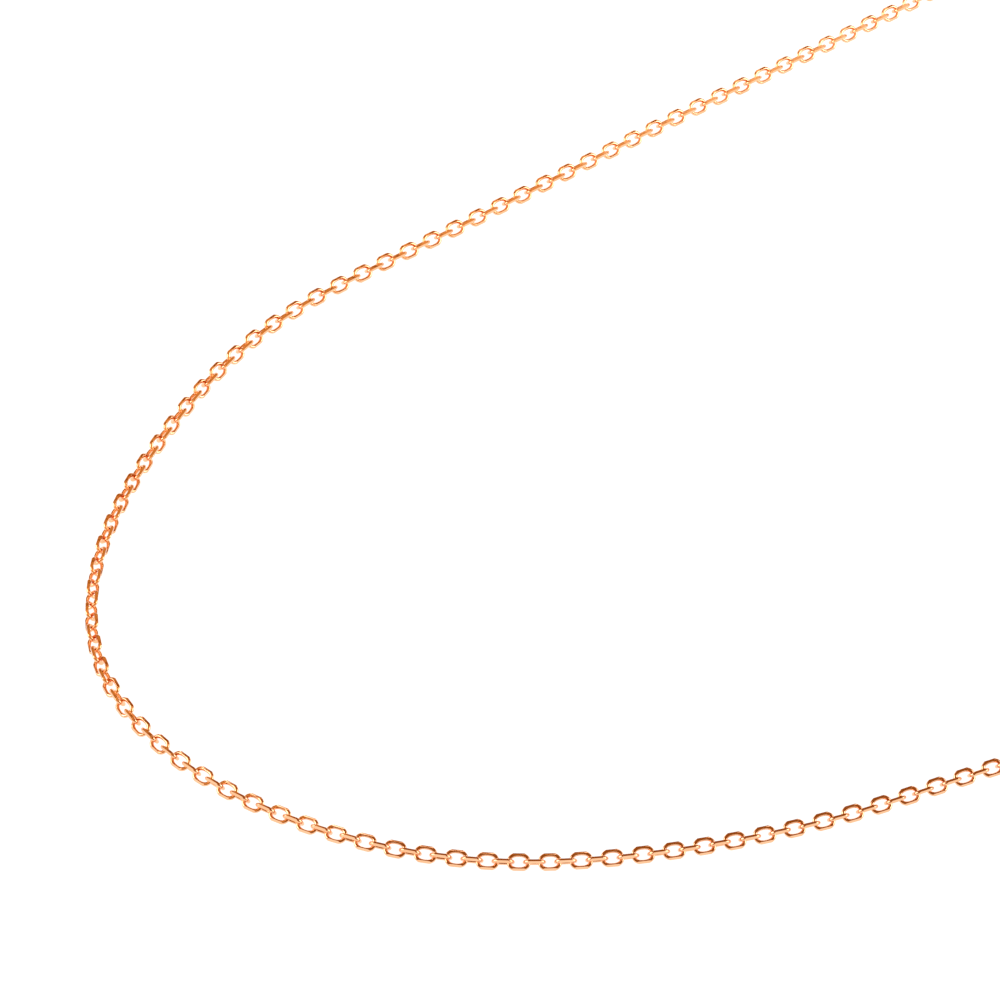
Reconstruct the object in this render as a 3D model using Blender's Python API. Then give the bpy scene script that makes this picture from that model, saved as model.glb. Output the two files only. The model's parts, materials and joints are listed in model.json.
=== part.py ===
"""Fine diamond-cut cable chain necklace with a bolt ring and an end plate, lying open on a table.

Frame: +Z up, the table at Z = 0, the origin under the middle of the whole necklace. The chain runs
from the bolt ring, along the back of the loop, round the bend on the left, and along the front to
the end plate. Each chain run is seven links that bear on each other, and the runs turn on the
bows between them. Lengths are metres.
"""
import math

import bmesh
import bpy
import numpy as np
from mathutils import Matrix, Vector

MM = 0.001

# Chain links: loops of wire that the diamond cut has flattened into four facets
LINK_WIRE = 0.36 * MM
LINK_HOLE_LENGTH = 1.32 * MM
LINK_PLAY = 0.475 * MM  # a link's hole is this much wider than the wire of its neighbour
BOW_PLAY = 0.16 * MM  # half a straight bow is this much longer than half the wire's width
LINK_ROLL = math.radians(45)  # neighbours lie rolled this far to either side
CONTACT_OVERLAP = 0.04 * MM  # how far the links of one run press into each other
JOINT_GAP = 0.05 * MM  # play between the last link of a run and the first of the next

# The chain
LINKS_PER_RUN = 7  # odd, so the hinges lean to either side in turn
RUN_COUNT = 42
ROOT_RUN = 22  # the run at the bend, which holds the others

# Jump rings and the play where one loop passes through another
RING_WIRE = 0.4 * MM
RING_PLAY = 1.6 * MM  # the jump ring's hole is this much wider than the wire of the eye in it
EYE_WIRE = 0.5 * MM
EYE_PLAY = 1.4 * MM  # the holes of the eye and the plate are this much wider than the jump ring's wire
PLATE_PLAY = 1.6 * MM
FIT_GAP = 0.12 * MM  # link to jump ring, which cross squarely
SLANT_GAP = 0.24 * MM  # jump ring to eye or plate, which cross at a slant
EYE_DROP = 0.05 * MM  # how far the eye hangs below the middle of its jump ring
PLATE_DROP = 0.15 * MM

# Bolt ring: a C of tube with a curved bolt and its spring inside
TUBE_RADIUS = 2.25 * MM  # to the middle of the tube
TUBE_WALL = 0.29 * MM
BOLT_DIAMETER = 0.68 * MM
BOLT_CLEARANCE = 0.12 * MM  # between the bolt and its bore
MOUTH_HALF_ANGLE = math.radians(25)
BOLT_SEAT_ANGLE = math.radians(8)  # how far the closed bolt enters the far side of the mouth
BOLT_TAIL_ANGLE = math.radians(90)
BOLT_TRAVEL = math.radians(58)
BORE_END_ANGLE = math.radians(170)
STUD_ANGLE = math.radians(42)
STUD_DIAMETER = 0.45 * MM
STUD_KNOB_DIAMETER = 1.0 * MM
STUD_KNOB_HEIGHT = 0.4 * MM
STUD_CLEARANCE = 0.12 * MM  # between the knob and the tube, and round the stud in its slot
SPRING_WIRE = 0.12 * MM
SPRING_CLEARANCE = 0.09 * MM
SPRING_TURNS = 8
SOLDER_GAP = 0.03 * MM  # between the eye and the tube it is fixed to

# End plate: flat, with a small hole for the jump ring and a large one for the bolt ring
PLATE_THICKNESS = 0.4 * MM
PLATE_RIM = 0.45 * MM  # metal left round each hole
PLATE_BRIDGE = 1.6 * MM  # metal left between the holes
HOOK_CLEARANCE = 0.5 * MM  # the large hole is this much wider than the bolt ring's tube

# How the necklace lies
CLIMB_LENGTH = 7.0 * MM  # the last links rise this far before the thicker jump rings
REST_GAP = 7.8 * MM  # between the tips of the open bolt ring and the end plate
# Shares of the chain, and how many degrees its links are twisted there beyond their roll
TWISTS = [(0.0, 0), (0.51, 0), (0.59, -20), (0.62, -20), (0.66, -14), (0.70, -12), (0.78, -9),
          (0.90, 0), (1.0, 0)]

# The loop that the chain lies along, in mm, from the bolt ring end to the end plate end
LOOP_POINTS = [
    (109.9, 52.1), (107.8, 61.0), (103.3, 72.0), (95.5, 80.5), (85.0, 85.0), (74.0, 85.8),
    (63.0, 82.8), (53.0, 76.9), (44.3, 70.5), (35.2, 64.0), (26.1, 57.6), (17.1, 51.3),
    (8.4, 45.0), (-0.3, 38.7), (-8.6, 32.8), (-16.7, 27.0), (-23.6, 20.5), (-29.7, 11.2),
    (-34.2, 1.5), (-36.7, -9.0), (-35.8, -19.7), (-30.5, -28.8), (-22.5, -35.5),
    (-13.0, -40.0), (-2.4, -42.4), (8.4, -42.3), (19.2, -40.5), (29.8, -37.5),
    (40.2, -33.3), (51.0, -28.8), (62.5, -23.6), (74.0, -17.3), (85.0, -9.3), (94.5, 0.8),
    (102.0, 12.5), (107.0, 25.0), (109.5, 37.0),
]
LOOP_SAMPLES = 6000

# Worked out from the sizes above
LINK_BOW = (LINK_HOLE_LENGTH + LINK_WIRE) / 2  # from a link's middle to the middle of its end wire
LINK_SIDE = LINK_PLAY / 2 + LINK_WIRE  # from a link's middle to the middle of its side wires
BOW_HALF = LINK_WIRE / 2 + BOW_PLAY
LINK_SLANT = math.atan2(LINK_SIDE - BOW_HALF, LINK_BOW)  # how far each half of a side leans in
BEARING_STEP = LINK_HOLE_LENGTH + CONTACT_OVERLAP
JOINT_STEP = LINK_HOLE_LENGTH - JOINT_GAP
RUN_LENGTH = (LINKS_PER_RUN - 1) * BEARING_STEP + JOINT_STEP
CHAIN_LENGTH = RUN_COUNT * RUN_LENGTH
SIDE_CORNER_SCALE = 1 / math.cos(LINK_SLANT)  # keeps the wire's width through each corner
BOW_CORNER_SCALE = 1 / math.cos((math.pi / 2 - LINK_SLANT) / 2)
SIDE_CORNER = LINK_WIRE / 2 * SIDE_CORNER_SCALE
RING_RADIUS = (EYE_WIRE + RING_PLAY + RING_WIRE) / 2  # to the middle of the wire
EYE_RADIUS = (RING_WIRE + EYE_PLAY + EYE_WIRE) / 2
BORE_DIAMETER = BOLT_DIAMETER + 2 * BOLT_CLEARANCE
TUBE_DIAMETER = BORE_DIAMETER + 2 * TUBE_WALL
SMALL_HOLE = RING_WIRE + PLATE_PLAY
LARGE_HOLE = TUBE_DIAMETER + HOOK_CLEARANCE
HOLE_SPACING = (SMALL_HOLE + LARGE_HOLE) / 2 + PLATE_BRIDGE
RING_HEIGHT = RING_RADIUS * math.sin(LINK_ROLL) + RING_WIRE / 2  # its lower side on the table
RING_STEP = LINK_BOW + RING_RADIUS - (LINK_WIRE + RING_WIRE) / 2 - FIT_GAP
EYE_STEP = RING_RADIUS + EYE_RADIUS - (RING_WIRE + EYE_WIRE) / 2 - SLANT_GAP
EYE_HEIGHT = RING_HEIGHT - EYE_DROP
PLATE_STEP = RING_RADIUS - RING_WIRE / 2 - SLANT_GAP + SMALL_HOLE / 2
PLATE_HEIGHT = RING_HEIGHT - PLATE_DROP
EYE_DISTANCE = TUBE_RADIUS + (TUBE_DIAMETER + EYE_WIRE) / 2 + EYE_RADIUS + SOLDER_GAP
PLATE_NEAR_RADIUS = SMALL_HOLE / 2 + PLATE_RIM
PLATE_FAR_RADIUS = LARGE_HOLE / 2 + PLATE_RIM
CLASP_REACH = RING_STEP + EYE_STEP + EYE_DISTANCE + TUBE_RADIUS + TUBE_DIAMETER / 2
PLATE_REACH = RING_STEP + PLATE_STEP + HOLE_SPACING + PLATE_FAR_RADIUS
LOOP_LENGTH = CHAIN_LENGTH + CLASP_REACH + PLATE_REACH + REST_GAP

ROSE_GOLD = (0.86, 0.53, 0.37)
SPRING_STEEL = (0.62, 0.60, 0.57)


# ---------------------------------------------------------------- scene and small tools

def clear_scene():
    for item in list(bpy.data.objects):
        bpy.data.objects.remove(item, do_unlink=True)


def new_collection(name):
    collection = bpy.data.collections.new(name)
    bpy.context.scene.collection.children.link(collection)
    return collection


def metal(name, colour, roughness):
    material = bpy.data.materials.new(name)
    material.use_nodes = True
    shader = material.node_tree.nodes["Principled BSDF"]
    shader.inputs["Base Color"].default_value = (*colour, 1.0)
    shader.inputs["Metallic"].default_value = 1.0
    shader.inputs["Roughness"].default_value = roughness
    return material


def finish_part(part, colour=ROSE_GOLD, roughness=0.18, smooth_angle=None):
    """Gives a part its own metal, and smooth shading where its faces meet at less than the angle."""
    part.data.materials.append(metal(part.name + "_metal", colour, roughness))
    if smooth_angle is not None:
        part.data.shade_smooth()
        part.data.set_sharp_from_angle(angle=smooth_angle)
    return part


def place(item, matrix, parent=None):
    """Puts an object at a world matrix, and under a parent that then carries it."""
    item.matrix_world = matrix
    if parent is not None:
        item.parent = parent
        item.matrix_parent_inverse = parent.matrix_world.inverted()
    bpy.context.view_layer.update()
    return item


def pivot(name, matrix, parent):
    """An empty on a joint's axis, which is the empty's own Y axis."""
    empty = bpy.data.objects.new(name, None)
    empty.empty_display_size = RING_RADIUS
    PARTS.objects.link(empty)
    return place(empty, matrix, parent)


def wire_mesh(name, points, diameter, closed, resolution, scales=None):
    """A wire along the points, as a mesh with its end caps welded. Scales widen single points."""
    curve = bpy.data.curves.new(name, "CURVE")
    curve.dimensions = "3D"
    curve.twist_mode = "Z_UP"
    curve.bevel_depth = diameter / 2
    curve.bevel_resolution = resolution
    curve.use_fill_caps = not closed
    spline = curve.splines.new("POLY")
    spline.points.add(len(points) - 1)
    for spline_point, point, scale in zip(spline.points, points, scales or [1.0] * len(points)):
        spline_point.co = (*point, 1.0)
        spline_point.radius = scale
    spline.use_cyclic_u = closed
    return mesh_of_curve(curve, name)


def mesh_of_curve(curve, name):
    holder = bpy.data.objects.new(name + "_curve", curve)
    bpy.context.scene.collection.objects.link(holder)
    evaluated = holder.evaluated_get(bpy.context.evaluated_depsgraph_get())
    mesh = bpy.data.meshes.new_from_object(evaluated)
    mesh.name = name
    bpy.data.objects.remove(holder, do_unlink=True)
    welded = bmesh.new()
    welded.from_mesh(mesh)
    bmesh.ops.remove_doubles(welded, verts=welded.verts, dist=0.0005 * MM)
    bmesh.ops.recalc_face_normals(welded, faces=welded.faces)
    welded.to_mesh(mesh)
    welded.free()
    return mesh


def rod_mesh(name, diameter, low, high, sides=12):
    """A cylinder along X from low to high."""
    rod = bmesh.new()
    along_x = Matrix.Translation(((low + high) / 2, 0, 0)) @ Matrix.Rotation(math.pi / 2, 4, "Y")
    bmesh.ops.create_cone(rod, cap_ends=True, segments=sides, radius1=diameter / 2,
                          radius2=diameter / 2, depth=high - low, matrix=along_x)
    mesh = bpy.data.meshes.new(name)
    rod.to_mesh(mesh)
    rod.free()
    return mesh


def new_part(name, mesh):
    part = bpy.data.objects.new(name, mesh)
    PARTS.objects.link(part)
    return part


def combine(part, mesh, operation, matrix=Matrix.Identity(4)):
    """Cuts a mesh from a part or joins it on. The mesh is in the part's own axes, moved by matrix."""
    cutter = bpy.data.objects.new(f"{part.name}_{mesh.name}", mesh)
    CUTTERS.objects.link(cutter)
    cutter.hide_render = True
    cutter.display_type = "WIRE"
    place(cutter, part.matrix_world @ matrix, part)
    modifier = part.modifiers.new(mesh.name, "BOOLEAN")
    modifier.operation = operation
    modifier.solver = "EXACT"
    modifier.object = cutter


def arc(radius, start, end, steps):
    """Points round Z at one radius, from one angle to another."""
    angles = np.linspace(start, end, steps + 1)
    return [(radius * math.cos(a), radius * math.sin(a), 0.0) for a in angles]


# ---------------------------------------------------------------- the loop the chain lies along

def closed_curve(points, samples):
    """The smooth closed cubic curve through the points: positions at even steps of its parameter."""
    corners = np.array(points, float)
    ahead = np.roll(corners, -1, axis=0)
    spans = np.linalg.norm(ahead - corners, axis=1)
    count = len(corners)
    slopes = (ahead - corners) / spans[:, None]
    bending = np.zeros((count, count))
    for i in range(count):
        before = spans[i - 1]
        after = spans[i]
        bending[i, i - 1] = before
        bending[i, i] = 2 * (before + after)
        bending[i, (i + 1) % count] = after
    second = np.linalg.solve(bending, 6 * (slopes - np.roll(slopes, 1, axis=0)))
    second_ahead = np.roll(second, -1, axis=0)
    knots = np.concatenate([[0.0], np.cumsum(spans)])
    places = np.linspace(0.0, knots[-1], samples + 1)
    piece = np.minimum(np.searchsorted(knots, places, side="right") - 1, count - 1)
    span = spans[piece][:, None]
    done = places[:, None] - knots[piece][:, None]
    left = span - done
    return (second[piece] * left**3 / (6 * span)
            + second_ahead[piece] * done**3 / (6 * span)
            + (corners[piece] / span - second[piece] * span / 6) * left
            + (ahead[piece] / span - second_ahead[piece] * span / 6) * done)


def loop_table():
    """Distances along the loop, scaled to the necklace's own length, and the points there."""
    positions = closed_curve(LOOP_POINTS, LOOP_SAMPLES) * MM
    steps = np.linalg.norm(np.diff(positions, axis=0), axis=1)
    distances = np.concatenate([[0.0], np.cumsum(steps)])
    scale = LOOP_LENGTH / distances[-1]
    return distances * scale, positions * scale


def twist(distance):
    """How far the links are twisted here beyond their roll."""
    shares, angles = zip(*TWISTS)
    return math.radians(np.interp(distance / CHAIN_LENGTH, shares, angles))


def rest_height(distance):
    """The height of the chain's middle: up on the jump rings at its ends, on the table between."""
    steep = LINK_ROLL + abs(twist(distance))
    on_table = LINK_SIDE * math.sin(steep) + SIDE_CORNER * max(math.sin(steep), math.cos(steep))
    from_end = min(distance, CHAIN_LENGTH - distance)
    share = min(max(from_end / CLIMB_LENGTH, 0.0), 1.0)
    eased = share * share * (3 - 2 * share)
    return RING_HEIGHT + (on_table - RING_HEIGHT) * eased


def chain_point(distance):
    x, y = (np.interp(distance, LOOP_DISTANCES, LOOP_POSITIONS[:, i]) for i in (0, 1))
    return Vector((x, y, rest_height(distance)))


def side_roll(index):
    """The roll of a link about the chain, which changes side from each link to the next."""
    return -LINK_ROLL if index % 2 == 0 else LINK_ROLL


def link_matrix(index):
    """Where a link lies: X along the chain, Y across it in the link's own plane."""
    run, place_in_run = divmod(index, LINKS_PER_RUN)
    distance = JOINT_STEP / 2 + run * RUN_LENGTH + place_in_run * BEARING_STEP
    ahead = chain_point(distance + LINK_BOW)
    behind = chain_point(distance - LINK_BOW) if distance > LINK_BOW else chain_point(0.0)
    return lying_matrix(chain_point(distance), ahead - behind, side_roll(index) + twist(distance))


def lying_matrix(position, direction, roll):
    """X along the direction, Y level and to its left, then turned about X by the roll."""
    forward = direction.normalized()
    left = Vector((0, 0, 1)).cross(forward).normalized()
    up = forward.cross(left)
    axes = Matrix((forward, left, up)).transposed().to_4x4()
    return Matrix.Translation(position) @ axes @ Matrix.Rotation(roll, 4, "X")


# ---------------------------------------------------------------- chain

def link_mesh():
    """One link: a straight bow at each end and two slanting halves on each side."""
    outline = [(LINK_BOW, BOW_HALF, 0), (0, LINK_SIDE, 0), (-LINK_BOW, BOW_HALF, 0),
               (-LINK_BOW, -BOW_HALF, 0), (0, -LINK_SIDE, 0), (LINK_BOW, -BOW_HALF, 0)]
    scales = [BOW_CORNER_SCALE, SIDE_CORNER_SCALE, BOW_CORNER_SCALE] * 2
    return wire_mesh("link", outline, LINK_WIRE, closed=True, resolution=0, scales=scales)


def copies_of_link(name, link, matrices):
    group = bmesh.new()
    for matrix in matrices:
        copy = link.copy()
        copy.transform(matrix)
        group.from_mesh(copy)
        bpy.data.meshes.remove(copy)
    mesh = bpy.data.meshes.new(name)
    group.to_mesh(mesh)
    group.free()
    return mesh


def run_hinge(run):
    """The hinge that a run turns on: the nearest bow of the neighbouring run towards the root."""
    first = run * LINKS_PER_RUN
    if run > ROOT_RUN:
        return link_matrix(first - 1) @ Matrix.Translation((LINK_BOW, 0, 0))
    if run < ROOT_RUN:
        return link_matrix(first + LINKS_PER_RUN) @ Matrix.Translation((-LINK_BOW, 0, 0))
    return link_matrix(first + LINKS_PER_RUN // 2)


def build_run(run, link, parent):
    """A run of links as one solid: every other link, joined to the ones between them."""
    hinge = run_hinge(run)
    to_hinge = hinge.inverted()
    first = run * LINKS_PER_RUN
    places = [to_hinge @ link_matrix(first + i) for i in range(LINKS_PER_RUN)]
    name = f"chain_run_{run + 1:02d}"
    part = new_part(name, copies_of_link(name, link, places[0::2]))
    place(part, hinge, parent)
    combine(part, copies_of_link("links_between", link, places[1::2]), "UNION")
    return finish_part(part)


def build_chain():
    """All the runs, each carried by its neighbour towards the root run. Returns them in order."""
    link = link_mesh()
    runs = {ROOT_RUN: build_run(ROOT_RUN, link, FRAME)}
    for run in range(ROOT_RUN + 1, RUN_COUNT):
        runs[run] = build_run(run, link, runs[run - 1])
    for run in range(ROOT_RUN - 1, -1, -1):
        runs[run] = build_run(run, link, runs[run + 1])
    bpy.data.meshes.remove(link)
    return [runs[run] for run in range(RUN_COUNT)]


# ---------------------------------------------------------------- rings

def ring_mesh(name, radius, wire):
    return wire_mesh(name, arc(radius, 0, 2 * math.pi, 16)[:-1], wire, closed=True, resolution=2)


def end_frame(index, outward):
    """A frame at an end link with X pointing level out of the chain, and Z up."""
    link = link_matrix(index)
    direction = link.to_3x3() @ Vector((outward, 0, 0))
    direction.z = 0
    return lying_matrix(link.translation, direction, 0)


def build_jump_ring(name, index, outward, parent):
    """A jump ring through an end link, rolled the other way. Returns its matrix, X pointing out."""
    link = link_matrix(index)
    across = Matrix.Rotation(-side_roll(index) * outward, 4, "X")
    ring = end_frame(index, outward) @ Matrix.Translation((RING_STEP, 0, 0)) @ across
    hinge = link @ Matrix.Translation((LINK_BOW * outward, 0, 0))
    part = new_part(name, ring_mesh(name, RING_RADIUS, RING_WIRE))
    part.data.transform(hinge.inverted() @ ring)
    place(part, hinge, parent)
    finish_part(part, smooth_angle=math.radians(50))
    return part, ring


# ---------------------------------------------------------------- bolt ring

def tube_arc(name, start, end, diameter, steps, radius=TUBE_RADIUS):
    return wire_mesh(name, arc(radius, start, end, steps), diameter, closed=False, resolution=2)


def build_clasp_body(matrix, parent):
    """The C of tube, bored from the mouth, slotted for the stud and seated for the bolt's tip."""
    body = new_part("clasp_body", tube_arc("clasp_body", MOUTH_HALF_ANGLE,
                                           2 * math.pi - MOUTH_HALF_ANGLE, TUBE_DIAMETER, 24))
    place(body, matrix, parent)
    over = math.radians(3)
    combine(body, tube_arc("bore", MOUTH_HALF_ANGLE - over, BORE_END_ANGLE, BORE_DIAMETER, 14),
            "DIFFERENCE")
    seat_depth = BOLT_SEAT_ANGLE + math.radians(2)
    combine(body, tube_arc("seat", -MOUTH_HALF_ANGLE - seat_depth, -MOUTH_HALF_ANGLE + over,
                           BORE_DIAMETER, 2), "DIFFERENCE")
    wall_middle = TUBE_RADIUS + (TUBE_DIAMETER + BORE_DIAMETER) / 4
    wall = (TUBE_DIAMETER - BORE_DIAMETER) / 2
    slot_width = math.hypot(STUD_DIAMETER + 2 * STUD_CLEARANCE, wall)
    spare = (STUD_DIAMETER / 2 + STUD_CLEARANCE) / TUBE_RADIUS
    combine(body, tube_arc("slot", STUD_ANGLE - spare, STUD_ANGLE + BOLT_TRAVEL + spare,
                           slot_width, 8, wall_middle), "DIFFERENCE")
    return finish_part(body, smooth_angle=math.radians(50))


def build_clasp_bolt(matrix, parent):
    """The curved bolt, which turns about the middle of the C, with its thumb stud."""
    tip = -MOUTH_HALF_ANGLE - BOLT_SEAT_ANGLE
    bolt = new_part("clasp_bolt", tube_arc("clasp_bolt", tip, BOLT_TAIL_ANGLE, BOLT_DIAMETER, 12))
    place(bolt, matrix, parent)
    radial = Matrix.Rotation(STUD_ANGLE, 4, "Z")
    knob_low = TUBE_RADIUS + TUBE_DIAMETER / 2 + STUD_CLEARANCE
    combine(bolt, rod_mesh("stud", STUD_DIAMETER, TUBE_RADIUS, knob_low + STUD_KNOB_HEIGHT / 2, 8),
            "UNION", radial)
    combine(bolt, rod_mesh("knob", STUD_KNOB_DIAMETER, knob_low, knob_low + STUD_KNOB_HEIGHT),
            "UNION", radial)
    return finish_part(bolt, smooth_angle=math.radians(50))


def build_clasp_spring(matrix, parent):
    """The coil spring behind the bolt, wound along the bore."""
    clearance_angle = SPRING_CLEARANCE / TUBE_RADIUS
    half_wire_angle = SPRING_WIRE / 2 / TUBE_RADIUS
    start = BOLT_TAIL_ANGLE + clearance_angle + half_wire_angle
    end = BORE_END_ANGLE - clearance_angle - half_wire_angle
    coil = (BORE_DIAMETER - SPRING_WIRE) / 2 - SPRING_CLEARANCE
    steps_per_turn = 8
    points = []
    for step in range(SPRING_TURNS * steps_per_turn + 1):
        turn = 2 * math.pi * step / steps_per_turn
        angle = start + (end - start) * step / (SPRING_TURNS * steps_per_turn)
        radius = TUBE_RADIUS + coil * math.cos(turn)
        points.append((radius * math.cos(angle), radius * math.sin(angle), coil * math.sin(turn)))
    mesh = wire_mesh("clasp_spring", points, SPRING_WIRE, closed=False, resolution=0)
    spring = place(new_part("clasp_spring", mesh), matrix, parent)
    return finish_part(spring, SPRING_STEEL, 0.35)


def build_clasp(parent):
    """The bolt ring on its jump ring: the eye stands on the ring's bow, the far side on the table."""
    jump_ring, ring = build_jump_ring("clasp_jump_ring", 0, -1, parent)
    bow = pivot("clasp_pivot", ring @ Matrix.Translation((RING_RADIUS, 0, 0)), jump_ring)
    drop = (EYE_HEIGHT - TUBE_DIAMETER / 2) / (EYE_DISTANCE + TUBE_RADIUS)
    tilt = Matrix.Rotation(math.asin(drop), 4, "Y")
    hang = Matrix.Translation((RING_STEP + EYE_STEP, 0, -EYE_DROP))
    eye_matrix = end_frame(0, -1) @ hang @ tilt
    middle = eye_matrix @ Matrix.Translation((EYE_DISTANCE, 0, 0))
    eye = new_part("clasp_eye", ring_mesh("clasp_eye", EYE_RADIUS, EYE_WIRE))
    place(eye, eye_matrix, bow)
    finish_part(eye, smooth_angle=math.radians(50))
    build_clasp_body(middle, bow)
    build_clasp_spring(middle, bow)
    build_clasp_bolt(middle, bow)


# ---------------------------------------------------------------- end plate

def plate_mesh():
    """A pear-shaped plate round its two holes. The small hole is at the origin, the other at +X."""
    curve = bpy.data.curves.new("end_plate", "CURVE")
    curve.dimensions = "2D"
    curve.fill_mode = "BOTH"
    curve.extrude = PLATE_THICKNESS / 2
    lean = math.acos((PLATE_FAR_RADIUS - PLATE_NEAR_RADIUS) / HOLE_SPACING)
    outline = [(x + HOLE_SPACING, y) for x, y, _ in
               arc(PLATE_FAR_RADIUS, lean - math.pi, math.pi - lean, 16)]
    outline += [(x, y) for x, y, _ in
                arc(PLATE_NEAR_RADIUS, math.pi - lean, math.pi + lean, 12)]
    small = [(x, y) for x, y, _ in arc(SMALL_HOLE / 2, 0, 2 * math.pi, 20)[:-1]]
    large = [(x + HOLE_SPACING, y) for x, y, _ in
             arc(LARGE_HOLE / 2, 0, 2 * math.pi, 24)[:-1]]
    for loop in (outline, small, large):
        spline = curve.splines.new("POLY")
        spline.points.add(len(loop) - 1)
        for spline_point, (x, y) in zip(spline.points, loop):
            spline_point.co = (x, y, 0.0, 1.0)
        spline.use_cyclic_u = True
    return mesh_of_curve(curve, "end_plate")


def build_end_plate(parent):
    """The plate on its jump ring: the near end stands on the ring's bow, the far end on the table."""
    last = RUN_COUNT * LINKS_PER_RUN - 1
    jump_ring, ring = build_jump_ring("end_jump_ring", last, 1, parent)
    bow = pivot("end_plate_pivot", ring @ Matrix.Translation((RING_RADIUS, 0, 0)), jump_ring)
    reach = HOLE_SPACING + PLATE_FAR_RADIUS
    half = PLATE_THICKNESS / 2
    # the drop D solves PLATE_HEIGHT = reach * sin(D) + half * cos(D)
    drop = math.asin(PLATE_HEIGHT / math.hypot(reach, half)) - math.atan2(half, reach)
    tilt = Matrix.Rotation(drop, 4, "Y")
    hang = Matrix.Translation((RING_STEP + PLATE_STEP, 0, -PLATE_DROP))
    plate = place(new_part("end_plate", plate_mesh()), end_frame(last, 1) @ hang @ tilt, bow)
    return finish_part(plate)


# ---------------------------------------------------------------- the necklace

def centre_on_origin():
    """Moves the whole necklace so that the origin lies under its middle, on the table."""
    graph = bpy.context.evaluated_depsgraph_get()
    low = Vector((math.inf,) * 3)
    high = Vector((-math.inf,) * 3)
    for part in PARTS.objects:
        if part.type != "MESH":
            continue
        evaluated = part.evaluated_get(graph)
        mesh = evaluated.to_mesh()
        for vertex in mesh.vertices:
            corner = part.matrix_world @ vertex.co
            low = Vector(map(min, low, corner))
            high = Vector(map(max, high, corner))
        evaluated.to_mesh_clear()
    FRAME.location = (-(low.x + high.x) / 2, -(low.y + high.y) / 2, -low.z)
    bpy.context.view_layer.update()


clear_scene()
PARTS = new_collection("chain_necklace")
CUTTERS = new_collection("cutters")
LOOP_DISTANCES, LOOP_POSITIONS = loop_table()
FRAME = bpy.data.objects.new("necklace_frame", None)
PARTS.objects.link(FRAME)
chain_runs = build_chain()
build_clasp(chain_runs[0])
build_end_plate(chain_runs[-1])
centre_on_origin()
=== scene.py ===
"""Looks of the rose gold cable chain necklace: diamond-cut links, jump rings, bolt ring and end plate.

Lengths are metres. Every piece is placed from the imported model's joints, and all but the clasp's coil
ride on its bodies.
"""
import json
import math
import random

import bmesh
import bpy
import numpy as np
from mathutils import Matrix, Vector

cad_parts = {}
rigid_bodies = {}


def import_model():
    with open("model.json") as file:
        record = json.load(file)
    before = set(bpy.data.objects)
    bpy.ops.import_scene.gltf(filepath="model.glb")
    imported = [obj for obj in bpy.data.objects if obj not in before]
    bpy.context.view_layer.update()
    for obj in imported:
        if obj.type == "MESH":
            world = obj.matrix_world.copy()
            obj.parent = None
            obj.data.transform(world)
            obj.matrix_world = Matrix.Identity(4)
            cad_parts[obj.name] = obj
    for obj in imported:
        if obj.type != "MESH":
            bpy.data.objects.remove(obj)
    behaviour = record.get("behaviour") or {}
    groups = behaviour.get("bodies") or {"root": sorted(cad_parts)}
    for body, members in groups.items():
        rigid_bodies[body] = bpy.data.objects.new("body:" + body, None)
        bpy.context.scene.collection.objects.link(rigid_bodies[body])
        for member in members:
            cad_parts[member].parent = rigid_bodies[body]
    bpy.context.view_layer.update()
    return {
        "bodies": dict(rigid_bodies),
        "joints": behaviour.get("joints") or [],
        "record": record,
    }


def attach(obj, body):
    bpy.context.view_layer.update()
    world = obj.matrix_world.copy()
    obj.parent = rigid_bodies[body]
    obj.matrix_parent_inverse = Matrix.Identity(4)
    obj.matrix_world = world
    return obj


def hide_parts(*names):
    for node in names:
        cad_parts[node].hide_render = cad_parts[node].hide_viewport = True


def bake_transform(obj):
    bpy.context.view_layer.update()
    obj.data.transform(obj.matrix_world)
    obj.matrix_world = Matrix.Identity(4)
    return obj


MM = 0.001
UP = Vector((0, 0, 1))

# How the chain is laid out in the frame
LINKS_PER_RUN = 7
RUN_LENGTH = 9.43 * MM
HINGE_OFFSET = 0.205 * MM  # a run's hinge lies this far past the run's own end
CLIMB_LENGTH = 7.0 * MM  # the last links rise this far before the thicker jump rings
LINK_ROLL = math.radians(45)

# The link: an oval of round wire, ground flat on the chain's four sides
LINK_LENGTH = 2.04 * MM
BOW_WIRE = 0.345 * MM
SIDE_WIRE = 0.39 * MM
LINK_BREADTH = 1.258 * MM  # between the middles of the two side wires
LINK_ROUNDNESS = 2.4  # exponent of the oval: 2 is an ellipse
FACET_DEPTH = 0.095 * MM  # from the middle of the side wire to each ground face
LINK_STEPS = 60
LINK_SIDES = 20
LINK_SHARP_ANGLE = math.radians(28)
LOOSE_ROLL = math.radians(1.5)  # how far a link may roll from its place by chance
LOOSE_SHIFT = 0.006 * MM

# Jump rings, bolt ring and end plate, to the middles of their wires and tubes
RING_RADIUS = 1.25 * MM
RING_WIRE = 0.35 * MM
SEAM_ANGLE = 128  # degrees round a jump ring from its outer bow to its soldered seam
EYE_RADIUS = 1.15 * MM
EYE_WIRE = 0.41 * MM
EYE_DISTANCE = 4.43 * MM  # from the middle of the eye to the middle of the C
TUBE_RADIUS = 2.25 * MM
TUBE_WIDTH = 1.5 * MM
BORE_WIDTH = 0.92 * MM
MOUTH_ANGLE = 25  # degrees from the middle of the mouth to each end of the C
SEAT_ANGLE = 10  # degrees that the seat goes in from the far end of the C
BORE_END = 170
SLOT_START, SLOT_END = 33, 109
BOLT_START, BOLT_END = -33, 90
BOLT_WIDTH = 0.68 * MM
STUD_ANGLE = math.radians(42)
SPRING_START, SPRING_END = 98.0, 163.5
SPRING_COIL = 0.31 * MM
SPRING_WIRE = 0.12 * MM
SPRING_TURNS = 6
SPRING_TURN_STEPS = 20
SPRING_SIDES = 8
PLATE_THICKNESS = 0.34 * MM
PLATE_RADIUS = 1.45 * MM  # of each rounded end
PLATE_HOLE = 2.1 * MM
PLATE_HOLE_SPACING = 3.6 * MM
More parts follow.
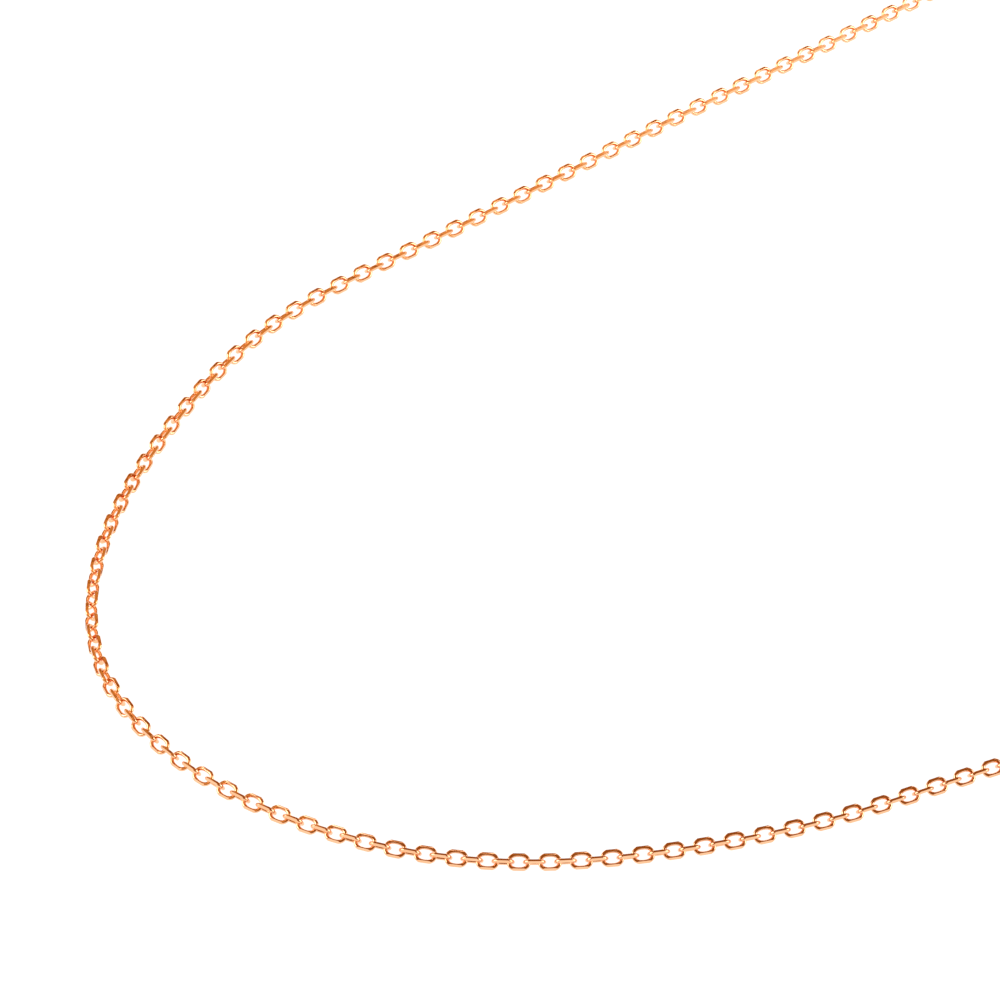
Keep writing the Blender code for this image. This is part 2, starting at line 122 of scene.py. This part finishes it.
PLATE_STEP = 0.56 * MM  # from the jump ring's bow to the middle of the near hole
PLATE_DROP = 0.15 * MM
PLATE_BEVEL = 0.06 * MM
TUBE_SIDES = 24
WIRE_SIDES = 20
FINDINGS_SHARP_ANGLE = math.radians(35)

ROSE_GOLD = (0.93, 0.54, 0.31)
STEEL = (0.62, 0.60, 0.57)

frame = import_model()
JOINTS = {joint["name"]: joint for joint in frame["joints"]}
chance = random.Random(5)


# ---------------------------------------------------------------- materials

class Nodes:
    """A material's node tree, with short calls to add and join nodes."""

    def __init__(self, name):
        self.material = bpy.data.materials.new(name)
        self.material.use_nodes = True
        self.tree = self.material.node_tree
        self.shader = self.tree.nodes["Principled BSDF"]
        self.place = self.tree.nodes.new("ShaderNodeTexCoord").outputs["Object"]

    def add(self, kind):
        return self.tree.nodes.new(kind)

    def join(self, output, socket):
        self.tree.links.new(output, socket)

    def noise(self, size, detail=2.0, stretch=(1, 1, 1)):
        """Noise whose features are about this size, stretched along the axes."""
        mapping = self.add("ShaderNodeMapping")
        mapping.inputs["Scale"].default_value = [1 / (size * part) for part in stretch]
        self.join(self.place, mapping.inputs["Vector"])
        noise = self.add("ShaderNodeTexNoise")
        noise.inputs["Scale"].default_value = 1.0
        noise.inputs["Detail"].default_value = detail
        self.join(mapping.outputs["Vector"], noise.inputs["Vector"])
        return noise.outputs["Fac"]

    def spread(self, value, low, high):
        """Maps the middle of a noise onto the range from low to high."""
        ranged = self.add("ShaderNodeMapRange")
        ranged.inputs["From Min"].default_value = 0.3
        ranged.inputs["From Max"].default_value = 0.7
        ranged.inputs["To Min"].default_value = low
        ranged.inputs["To Max"].default_value = high
        self.join(value, ranged.inputs["Value"])
        return ranged.outputs["Result"]

    def ramp(self, value, colours):
        ramp = self.add("ShaderNodeValToRGB")
        stops = ramp.color_ramp.elements
        for i, (position, colour) in enumerate(colours):
            stop = stops[i] if i < len(stops) else stops.new(position)
            stop.position = position
            stop.color = (*colour, 1.0)
        self.join(value, ramp.inputs["Fac"])
        return ramp.outputs["Color"]


def shade(colour, factors):
    return tuple(c * f for c, f in zip(colour, factors))


def metal(name, colour, low, high, grain, grain_depth, scratch_stretch=(1, 1, 1)):
    """Metal whose colour drifts along it, with uneven polish, and fine tool marks as bump."""
    nodes = Nodes(name)
    nodes.shader.inputs["Metallic"].default_value = 1.0
    drift = nodes.noise(3.1 * MM)
    redder = shade(colour, (0.96, 0.90, 0.84))
    paler = shade(colour, (1.02, 1.05, 1.10))
    nodes.join(nodes.ramp(drift, [(0.3, redder), (0.5, colour), (0.7, paler)]),
               nodes.shader.inputs["Base Color"])
    nodes.join(nodes.spread(nodes.noise(0.35 * MM), low, high), nodes.shader.inputs["Roughness"])
    bump = nodes.add("ShaderNodeBump")
    bump.inputs["Strength"].default_value = 0.5
    bump.inputs["Distance"].default_value = grain_depth
    nodes.join(nodes.noise(grain, 3.0, scratch_stretch), bump.inputs["Height"])
    nodes.join(bump.outputs["Normal"], nodes.shader.inputs["Normal"])
    return nodes.material


# ---------------------------------------------------------------- the line of the chain

def natural_curve(distances, values):
    """A natural cubic through the values at the distances. Returns a function of distance."""
    distances = np.array(distances)
    values = np.array(values)
    spans = np.diff(distances)
    count = len(distances)
    bending = np.eye(count)
    pull = np.zeros((count, values.shape[1]))
    slopes = np.diff(values, axis=0) / spans[:, None]
    for i in range(1, count - 1):
        bending[i, i - 1:i + 2] = spans[i - 1], 2 * (spans[i - 1] + spans[i]), spans[i]
        pull[i] = 6 * (slopes[i] - slopes[i - 1])
    second = np.linalg.solve(bending, pull)

    def at(distance):
        i = int(np.clip(np.searchsorted(distances, distance) - 1, 0, count - 2))
        done = distance - distances[i]
        left = distances[i + 1] - distance
        span = spans[i]
        return (second[i] * left**3 / (6 * span) + second[i + 1] * done**3 / (6 * span)
                + (values[i] / span - second[i] * span / 6) * left
                + (values[i + 1] / span - second[i + 1] * span / 6) * done)
    return at


class ChainLine:
    """Where the links lie, read from the joints between the runs."""

    def __init__(self):
        self.runs = sorted(name for name in frame["bodies"] if name.startswith("run_"))
        self.length = len(self.runs) * RUN_LENGTH
        self.link_count = len(self.runs) * LINKS_PER_RUN
        self.pitch = self.length / self.link_count
        root = next(i for i, name in enumerate(self.runs) if name + "_hinge" not in JOINTS)
        hinges = [(-HINGE_OFFSET, "clasp_jump_ring_hinge")]
        for i, name in enumerate(self.runs):
            if i < root:
                hinges.append(((i + 1) * RUN_LENGTH - HINGE_OFFSET, name + "_hinge"))
            elif i > root:
                hinges.append((i * RUN_LENGTH + HINGE_OFFSET, name + "_hinge"))
        hinges.append((self.length + HINGE_OFFSET, "end_jump_ring_hinge"))
        self.distances = [distance for distance, _ in hinges]
        spots = [JOINTS[name]["pos_m"] for _, name in hinges]
        self.level = natural_curve(self.distances, [spot[:2] for spot in spots])
        self.heights = [spot[2] for spot in spots]
        self.ring_height = JOINTS["bolt_ring_hinge"]["pos_m"][2]
        self.twists = [self.twist_at_hinge(distance, JOINTS[name]["axis"])
                       for distance, name in hinges]

    def twist_at_hinge(self, distance, axis):
        """How far the links here are rolled beyond 45 degrees, from the lean of the hinge's axis."""
        forward, left, up = self.axes(distance)
        across = Vector(axis)
        roll = math.atan2(across.dot(up), across.dot(left))
        if abs(roll) > math.pi / 2:
            roll -= math.copysign(math.pi, roll)
        return roll - math.copysign(LINK_ROLL, roll)

    def point(self, distance):
        from_end = min(distance, self.length - distance)
        share = min(max(from_end / CLIMB_LENGTH, 0.0), 1.0)
        eased = share * share * (3 - 2 * share)
        on_table = float(np.interp(distance, self.distances[1:-1], self.heights[1:-1]))
        height = self.ring_height + (on_table - self.ring_height) * eased
        return Vector((*self.level(distance), height))

    def axes(self, distance):
        reach = LINK_LENGTH / 2
        forward = (self.point(distance + reach) - self.point(distance - reach)).normalized()
        left = UP.cross(forward).normalized()
        return forward, left, forward.cross(left)

    def link_matrix(self, index):
        """Where link number index lies: X along the chain, Y across it in the link's own plane."""
        distance = (index + 0.5) * self.pitch
        twist = float(np.interp(distance, self.distances, self.twists))
        roll = (-LINK_ROLL if index % 2 == 0 else LINK_ROLL) + twist
        roll += chance.uniform(-LOOSE_ROLL, LOOSE_ROLL)
        shift = Vector([chance.uniform(-LOOSE_SHIFT, LOOSE_SHIFT) for _ in range(3)])
        turned = Matrix(self.axes(distance)).transposed().to_4x4()
        turned.translation = self.point(distance) + shift
        return turned @ Matrix.Rotation(roll, 4, "X")


# ---------------------------------------------------------------- links

def oval_points(half_length, half_breadth, exponent, steps):
    """Evenly spaced points round a superellipse."""
    angles = np.linspace(0, 2 * math.pi, 40 * steps + 1)
    c, s = np.cos(angles), np.sin(angles)
    x = half_length * np.sign(c) * np.abs(c) ** (2 / exponent)
    y = half_breadth * np.sign(s) * np.abs(s) ** (2 / exponent)
    walked = np.concatenate([[0.0], np.cumsum(np.hypot(np.diff(x), np.diff(y)))])
    places = np.linspace(0, walked[-1], steps + 1)[:-1]
    return np.stack([np.interp(places, walked, x), np.interp(places, walked, y)], axis=1)


def swept_ring(body, points, radii, sides):
    """A closed round tube along flat points, added to a bmesh."""
    count = len(points)
    loops = []
    for i, (point, radius) in enumerate(zip(points, radii)):
        along = points[(i + 1) % count] - points[i - 1]
        outward = Vector((along[1], -along[0], 0)).normalized()
        middle = Vector((*point, 0))
        loops.append([body.verts.new(middle + radius * (math.cos(a) * outward + math.sin(a) * UP))
                      for a in np.linspace(0, 2 * math.pi, sides, endpoint=False)])
    for i in range(count):
        here, ahead = loops[i], loops[(i + 1) % count]
        for j in range(sides):
            k = (j + 1) % sides
            body.faces.new((here[j], here[k], ahead[k], ahead[j])).smooth = True


def grind(body, normal, depth):
    """Cuts away what stands past a plane and closes the cut with a flat face of the second material."""
    cut = bmesh.ops.bisect_plane(body, geom=body.verts[:] + body.edges[:] + body.faces[:],
                                 dist=1e-9, plane_co=normal * depth, plane_no=normal,
                                 clear_outer=True)
    rim = [item for item in cut["geom_cut"] if isinstance(item, bmesh.types.BMEdge)]
    filled = bmesh.ops.edgeloop_fill(body, edges=rim)
    for face in filled["faces"]:
        face.material_index = 1
        face.smooth = False


def link_mesh():
    """One link, with X along the chain and its plane in XY."""
    body = bmesh.new()
    points = oval_points((LINK_LENGTH - BOW_WIRE) / 2, LINK_BREADTH / 2, LINK_ROUNDNESS,
                         LINK_STEPS)
    sideness = np.clip(np.abs(points[:, 1]) / (LINK_BREADTH / 2), 0, 1) ** 2
    widths = BOW_WIRE + (SIDE_WIRE - BOW_WIRE) * sideness
    swept_ring(body, points, (widths / 2).tolist(), LINK_SIDES)
    depth = LINK_BREADTH / 2 * math.cos(LINK_ROLL) + FACET_DEPTH
    for y, z in ((1, 1), (1, -1), (-1, -1), (-1, 1)):
        grind(body, Vector((0, y, z)).normalized(), depth)
    bmesh.ops.recalc_face_normals(body, faces=body.faces)
    mesh = bpy.data.meshes.new("link")
    body.to_mesh(mesh)
    body.free()
    mesh.set_sharp_from_angle(angle=LINK_SHARP_ANGLE)
    return mesh


def build_links(line, materials):
    """One piece for each run, holding its seven separate links."""
    link = link_mesh()
    for run, name in enumerate(line.runs):
        group = bmesh.new()
        for i in range(LINKS_PER_RUN):
            copy = link.copy()
            copy.transform(line.link_matrix(run * LINKS_PER_RUN + i))
            group.from_mesh(copy)
            bpy.data.meshes.remove(copy)
        number = name.split("_")[1]
        mesh = bpy.data.meshes.new("links_" + number)
        group.to_mesh(mesh)
        group.free()
        for material in materials:
            mesh.materials.append(material)
        piece = bpy.data.objects.new("links_" + number, mesh)
        bpy.context.scene.collection.objects.link(piece)
        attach(piece, name)
        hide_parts("chain_run_" + number)
    bpy.data.meshes.remove(link)


# ---------------------------------------------------------------- jump rings, bolt ring, end plate

def sweep(body, sections, sides, closed, skip=None):
    """Round sections joined by faces. A section is a middle, two axes across it and a radius."""
    loops = []
    for middle, across, upward, radius in sections:
        loops.append([body.verts.new(middle + radius * (math.cos(a) * across + math.sin(a) * upward))
                      for a in np.linspace(0, 2 * math.pi, sides, endpoint=False)])
    count = len(loops)
    for i in range(count if closed else count - 1):
        here, ahead = loops[i], loops[(i + 1) % count]
        for j in range(sides):
            if skip and skip(i, j):
                continue
            k = (j + 1) % sides
            body.faces.new((here[j], here[k], ahead[k], ahead[j]))
    if not closed:
        body.faces.new(loops[0])
        body.faces.new(loops[-1])
    return loops


def bend_section(degrees, radius, bend_radius=TUBE_RADIUS):
    """A section of a tube that bends about Z."""
    angle = math.radians(degrees)
    outward = Vector((math.cos(angle), math.sin(angle), 0))
    return outward * bend_radius, outward, UP, radius


def finish_piece(name, body, matrix, material, ride, node):
    """Makes the mesh a piece in its place. Without a body to ride on, it is left unattached."""
    bmesh.ops.recalc_face_normals(body, faces=body.faces)
    for face in body.faces:
        face.smooth = True
    mesh = bpy.data.meshes.new(name)
    body.to_mesh(mesh)
    body.free()
    mesh.transform(matrix)
    mesh.set_sharp_from_angle(angle=FINDINGS_SHARP_ANGLE)
    mesh.materials.append(material)
    piece = bpy.data.objects.new(name, mesh)
    bpy.context.scene.collection.objects.link(piece)
    if ride:
        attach(piece, ride)
    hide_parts(node)
    return piece


def joint_place(name):
    return Vector(JOINTS[name]["pos_m"])


def outward_axis(inner, outer):
    """The level direction from one joint to the next one out."""
    outward = joint_place(outer) - joint_place(inner)
    outward.z = 0
    return outward.normalized()


def frame_matrix(origin, x_axis, z_axis):
    """A frame with this Z, and with X as near as it can be to the one given."""
    z_axis = Vector(z_axis).normalized()
    x_axis = (x_axis - z_axis * x_axis.dot(z_axis)).normalized()
    axes = Matrix((x_axis, z_axis.cross(x_axis), z_axis)).transposed().to_4x4()
    axes.translation = origin
    return axes


def build_jump_ring(name, inner, outer, material):
    """A ring of round wire, closed by a soldered seam that stands a little proud."""
    outward = outward_axis(inner, outer)
    across = Vector(JOINTS[outer]["axis"])
    matrix = frame_matrix(joint_place(outer) - outward * RING_RADIUS, outward, outward.cross(across))
    body = bmesh.new()
    sections = []
    near_seam = {SEAM_ANGLE + step for step in (-6, -3, -1, 1, 4)}
    for degrees in sorted(set(range(0, 360, 5)) | near_seam):
        from_seam = abs(degrees - SEAM_ANGLE)
        bulge = 1 + 0.07 * math.exp(-(from_seam / 4) ** 2) - (0.05 if from_seam < 0.5 else 0.0)
        sections.append(bend_section(degrees, RING_WIRE / 2 * bulge, RING_RADIUS))
    sweep(body, sections, WIRE_SIDES, closed=True)
    finish_piece(name + "_wire", body, matrix, material, name, name)


def build_clasp_body(matrix, material):
    """The C of tube: open bore, slot for the stud, seat for the bolt's tip and turned grooves."""
    tube, bore = TUBE_WIDTH / 2, BORE_WIDTH / 2
    slot_angles = list(np.linspace(SLOT_START, SLOT_END, 16))
    far = 360 - MOUTH_ANGLE
    inner = [(BORE_END, bore)] + [(a, bore) for a in np.linspace(160, 115, 6)]
    inner += [(a, bore) for a in slot_angles[::-1]] + [(30, bore), (26, bore)]
    near_rim = [(MOUTH_ANGLE + 0.4, bore * 1.04), (MOUTH_ANGLE, bore * 1.16),
                (MOUTH_ANGLE, tube * 0.9), (MOUTH_ANGLE + 0.5, tube * 0.97)]
    groove = [(MOUTH_ANGLE + 1.5, tube), (MOUTH_ANGLE + 3.4, tube), (MOUTH_ANGLE + 3.9, tube * 0.95),
              (MOUTH_ANGLE + 4.9, tube * 0.95), (MOUTH_ANGLE + 5.4, tube)]
    outer = [(a, tube) for a in slot_angles] + [(a, tube) for a in np.linspace(114, 324, 42)]
    far_groove = [(360 - a, r) for a, r in groove[::-1]]
    far_rim = [(360 - a, r) for a, r in near_rim[::-1]]
    seat = [(far - 1, bore), (far - SEAT_ANGLE, bore)]
    profile = inner + near_rim + groove + outer + far_groove + far_rim + seat
    inner_start = inner.index((slot_angles[-1], bore))
    outer_start = len(inner) + len(near_rim) + len(groove)
    last = len(slot_angles) - 1
    half = 2  # the slot is this many sides wide each way
    open_sides = [j % TUBE_SIDES for j in range(-half, half)]

    def in_slot(i, j):
        inside = inner_start <= i < inner_start + last or outer_start <= i < outer_start + last
        return inside and j in open_sides

    body = bmesh.new()
    loops = sweep(body, [bend_section(a, r) for a, r in profile], TUBE_SIDES, False, in_slot)
    rows = [(loops[outer_start + i], loops[inner_start + last - i]) for i in range(last + 1)]
    for (outer_here, inner_here), (outer_ahead, inner_ahead) in zip(rows, rows[1:]):
        for j in (-half, half):
            body.faces.new((outer_here[j], outer_ahead[j], inner_ahead[j], inner_here[j]))
    for outer_end, inner_end in (rows[0], rows[-1]):
        for j in range(-half, half):
            body.faces.new((outer_end[j], outer_end[j + 1], inner_end[j + 1], inner_end[j]))
    finish_piece("clasp_tube", body, matrix, material, "bolt_ring", "clasp_body")


def build_clasp_bolt(matrix, material):
    """The curved bolt with a rounded tip, and its thumb stud with a domed knob."""
    half = BOLT_WIDTH / 2
    body = bmesh.new()
    tip = [(BOLT_START, 0.35), (BOLT_START + 0.5, 0.66), (BOLT_START + 1.4, 0.88),
           (BOLT_START + 3, 0.98), (BOLT_START + 5, 1.0)]
    shank = [(a, 1.0) for a in np.linspace(BOLT_START + 9, BOLT_END - 4, 28)]
    tail = [(BOLT_END - 1, 1.0), (BOLT_END, 0.9)]
    sweep(body, [bend_section(a, share * half) for a, share in tip + shank + tail], TUBE_SIDES, False)
    outward = Vector((math.cos(STUD_ANGLE), math.sin(STUD_ANGLE), 0))
    sideways = Vector((-math.sin(STUD_ANGLE), math.cos(STUD_ANGLE), 0))
    stud = [(2.32, 0.2), (3.05, 0.2), (3.10, 0.26), (3.13, 0.42), (3.16, 0.48), (3.21, 0.5),
            (3.36, 0.5), (3.42, 0.48), (3.47, 0.42), (3.50, 0.32), (3.52, 0.16)]
    sweep(body, [(outward * d * MM, sideways, UP, r * MM) for d, r in stud], TUBE_SIDES, False)
    finish_piece("clasp_bolt_and_stud", body, matrix, material, "bolt", "clasp_bolt")


def build_clasp_spring(matrix, material):
    """The coil behind the bolt, swept as a fixed helix."""
    body = bmesh.new()
    sections = []
    steps = SPRING_TURNS * SPRING_TURN_STEPS
    lead = (TUBE_RADIUS * math.radians(SPRING_END - SPRING_START) / steps * SPRING_TURN_STEPS
            / (2 * math.pi))
    for step in range(steps + 1):
        turn = 2 * math.pi * step / SPRING_TURN_STEPS
        angle = math.radians(SPRING_START + (SPRING_END - SPRING_START) * step / steps)
        outward = Vector((math.cos(angle), math.sin(angle), 0))
        along = Vector((-math.sin(angle), math.cos(angle), 0))
        away = math.cos(turn) * outward + math.sin(turn) * UP
        heading = (math.cos(turn) * UP - math.sin(turn) * outward) * SPRING_COIL + along * lead
        across = heading.normalized().cross(away)
        sections.append((outward * TUBE_RADIUS + away * SPRING_COIL, away, across, SPRING_WIRE / 2))
    sweep(body, sections, SPRING_SIDES, False)
    coil = finish_piece("clasp_coil", body, matrix, material, None, "clasp_spring")
    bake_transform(coil)


def build_clasp_eye(matrix, material):
    """The eye, and the fillet of solder that holds it to the tube."""
    body = bmesh.new()
    sweep(body, [bend_section(a, EYE_WIRE / 2, EYE_RADIUS) for a in range(0, 360, 5)],
          WIRE_SIDES, True)
    sideways = Vector((0, 1, 0))
    fillet = [(1.22, 0.2), (1.30, 0.27), (1.36, 0.25), (1.41, 0.23), (1.46, 0.26), (1.52, 0.34),
              (1.60, 0.38)]
    sweep(body, [(Vector((d * MM, 0, 0)), sideways, UP, r * MM) for d, r in fillet],
          WIRE_SIDES, False)
    finish_piece("clasp_eye_wire", body, matrix, material, "bolt_ring", "clasp_eye")


def build_clasp(gold, steel):
    build_jump_ring("clasp_jump_ring", "clasp_jump_ring_hinge", "bolt_ring_hinge", gold)
    outward = outward_axis("clasp_jump_ring_hinge", "bolt_ring_hinge")
    matrix = frame_matrix(joint_place("bolt_slide"), outward, JOINTS["bolt_slide"]["axis"])
    build_clasp_body(matrix, gold)
    build_clasp_bolt(matrix, gold)
    build_clasp_spring(matrix, steel)
    build_clasp_eye(matrix @ Matrix.Translation((-EYE_DISTANCE, 0, 0)), gold)


def circle_points(radius, x, start=0.0, end=2 * math.pi, steps=48):
    return [(x + radius * math.cos(a), radius * math.sin(a))
            for a in np.linspace(start, end, steps, endpoint=False)]


def build_end_plate(gold, plate_gold):
    """An oblong plate with rounded ends and rims and two equal holes."""
    build_jump_ring("end_jump_ring", "end_jump_ring_hinge", "end_plate_hinge", gold)
    outward = outward_axis("end_jump_ring_hinge", "end_plate_hinge")
    origin = joint_place("end_plate_hinge") + outward * PLATE_STEP - UP * PLATE_DROP
    top = next(mount for mount in frame["record"]["mounts"] if mount["name"] == "end_plate_top")
    matrix = frame_matrix(origin, outward, top["axis"])
    curve = bpy.data.curves.new("end_plate_outline", "CURVE")
    curve.dimensions = "2D"
    curve.fill_mode = "BOTH"
    curve.extrude = PLATE_THICKNESS / 2 - PLATE_BEVEL
    curve.bevel_depth = PLATE_BEVEL
    curve.bevel_resolution = 3
    curve.offset = -PLATE_BEVEL
    quarter = math.acos(0)
    outline = circle_points(PLATE_RADIUS, PLATE_HOLE_SPACING, quarter - math.pi, math.pi - quarter)
    outline += circle_points(PLATE_RADIUS, 0, math.pi - quarter, math.pi + quarter)
    for loop in (outline, circle_points(PLATE_HOLE / 2, 0),
                 circle_points(PLATE_HOLE / 2, PLATE_HOLE_SPACING)):
        spline = curve.splines.new("POLY")
        spline.points.add(len(loop) - 1)
        for spot, (x, y) in zip(spline.points, loop):
            spot.co = (x, y, 0.0, 1.0)
        spline.use_cyclic_u = True
    holder = bpy.data.objects.new("end_plate_outline", curve)
    bpy.context.scene.collection.objects.link(holder)
    evaluated = holder.evaluated_get(bpy.context.evaluated_depsgraph_get())
    mesh = bpy.data.meshes.new_from_object(evaluated)
    bpy.data.objects.remove(holder, do_unlink=True)
    body = bmesh.new()
    body.from_mesh(mesh)
    bmesh.ops.remove_doubles(body, verts=body.verts, dist=0.0005 * MM)
    finish_piece("end_plate_disc", body, matrix, plate_gold, "end_plate", "end_plate")


# ---------------------------------------------------------------- stage, lights and camera

CAMERA_ELEVATION = math.radians(47.26)
CAMERA_DISTANCE = 451.3 * MM
CAMERA_LENS = 176.7  # mm, on a 36 mm sensor
CAMERA_TARGET = Vector((-38.29, -21.64, 0.56)) * MM


def build_camera():
    data = bpy.data.cameras.new("camera")
    data.lens = CAMERA_LENS
    data.sensor_width = 36.0
    data.clip_start = 0.01
    camera = bpy.data.objects.new("camera", data)
    back = Vector((0, -math.cos(CAMERA_ELEVATION), math.sin(CAMERA_ELEVATION)))
    camera.location = CAMERA_TARGET + back * CAMERA_DISTANCE
    camera.rotation_mode = "QUATERNION"
    camera.rotation_quaternion = (-back).to_track_quat("-Z", "Y")
    bpy.context.scene.collection.objects.link(camera)
    bpy.context.scene.camera = camera


def build_floor():
    """A white, softly glowing table top."""
    body = bmesh.new()
    bmesh.ops.create_grid(body, x_segments=8, y_segments=8, size=3.0)
    mesh = bpy.data.meshes.new("table_top")
    body.to_mesh(mesh)
    body.free()
    nodes = Nodes("table_white")
    nodes.shader.inputs["Base Color"].default_value = (0.2, 0.2, 0.2, 1.0)
    nodes.shader.inputs["Roughness"].default_value = 0.9
    nodes.shader.inputs["Specular IOR Level"].default_value = 0.0
    nodes.shader.inputs["Emission Color"].default_value = (1.0, 1.0, 1.0, 1.0)
    nodes.shader.inputs["Emission Strength"].default_value = 1.0
    mesh.materials.append(nodes.material)
    floor = bpy.data.objects.new("table_top", mesh)
    bpy.context.scene.collection.objects.link(floor)


def softbox(name, location, aim, size, radiance, colour=(1, 1, 1), heading=0.0):
    """An area light of a given brightness, which cameras don't see."""
    data = bpy.data.lights.new(name, "AREA")
    data.shape = "RECTANGLE"
    data.size, data.size_y = size
    data.energy = radiance * math.pi * size[0] * size[1]
    data.color = colour
    light = bpy.data.objects.new(name, data)
    light.location = location
    light.rotation_mode = "QUATERNION"
    turn = Matrix.Rotation(heading, 3, "Z").to_quaternion()
    light.rotation_quaternion = turn @ (Vector(aim) - Vector(location)).to_track_quat("-Z", "Y")
    light.visible_camera = False
    bpy.context.scene.collection.objects.link(light)


# Small cards over the bend and the back leg, one behind each place and one before it, which colour
# the faces of the links there: a place on the chain, in mm, and a colour
CARDS = [
    (-76, -36, (0.29, 0.17, 0.055)),
    (-66, -8, (0.33, 0.20, 0.065)),
    (-40, 16, (0.46, 0.29, 0.12)),
    (-15, 34, (0.62, 0.50, 0.32)),
    (10, 52, (0.72, 0.68, 0.58)),
    (34, 65, (0.80, 0.85, 0.88)),
]
CARD_REACH = 23
CARD_HEIGHT = 25
CARD_HEADING = math.radians(35)
SIDE_BOX_SIZE = (0.5, 0.44)
SIDE_BOX_RADIANCE = 3.5
ROOM_COLOUR = (0.32, 0.115, 0.015, 1.0)


def build_lights():
    for name, x in (("left_box", -0.60), ("right_box", 0.60)):
        softbox(name, (x, -0.10, 0.26), (0, 0, 0), SIDE_BOX_SIZE, SIDE_BOX_RADIANCE)
    softbox("horizon", (0.0, 0.60, 0.05), (0, 0, 0), (1.6, 0.10), 2.0)
    for x, y, colour in CARDS:
        leg = Vector((x, y, 0))
        above = leg + Vector((0, CARD_REACH, CARD_HEIGHT))
        before = leg + Vector((0, -CARD_REACH, CARD_HEIGHT))
        softbox(f"card_above_{x}", above * MM, (above - UP) * MM, (0.030, 0.022), 1.15, colour,
                CARD_HEADING)
        softbox(f"card_before_{x}", before * MM, leg * MM, (0.030, 0.040), 1.6, colour)
    world = bpy.data.worlds.new("room")
    world.use_nodes = True
    shader = world.node_tree.nodes["Background"]
    shader.inputs["Color"].default_value = ROOM_COLOUR
    shader.inputs["Strength"].default_value = 1.0
    bpy.context.scene.world = world
    bpy.context.scene.view_settings.view_transform = "Standard"


# ---------------------------------------------------------------- the necklace

wire_gold = metal("rose_gold_wire", ROSE_GOLD, 0.10, 0.22, 0.05 * MM, 0.002 * MM)
cut_gold = metal("rose_gold_cut", ROSE_GOLD, 0.04, 0.12, 0.03 * MM, 0.001 * MM)
findings_gold = metal("rose_gold_polished", ROSE_GOLD, 0.06, 0.16, 0.12 * MM, 0.002 * MM)
plate_gold = metal("rose_gold_brushed", ROSE_GOLD, 0.14, 0.26, 0.04 * MM, 0.003 * MM, (12, 1, 1))
spring_steel = metal("spring_steel", STEEL, 0.22, 0.38, 0.03 * MM, 0.002 * MM)
build_links(ChainLine(), (wire_gold, cut_gold))
build_clasp(findings_gold, spring_steel)
build_end_plate(findings_gold, plate_gold)
build_floor()
build_lights()
build_camera()
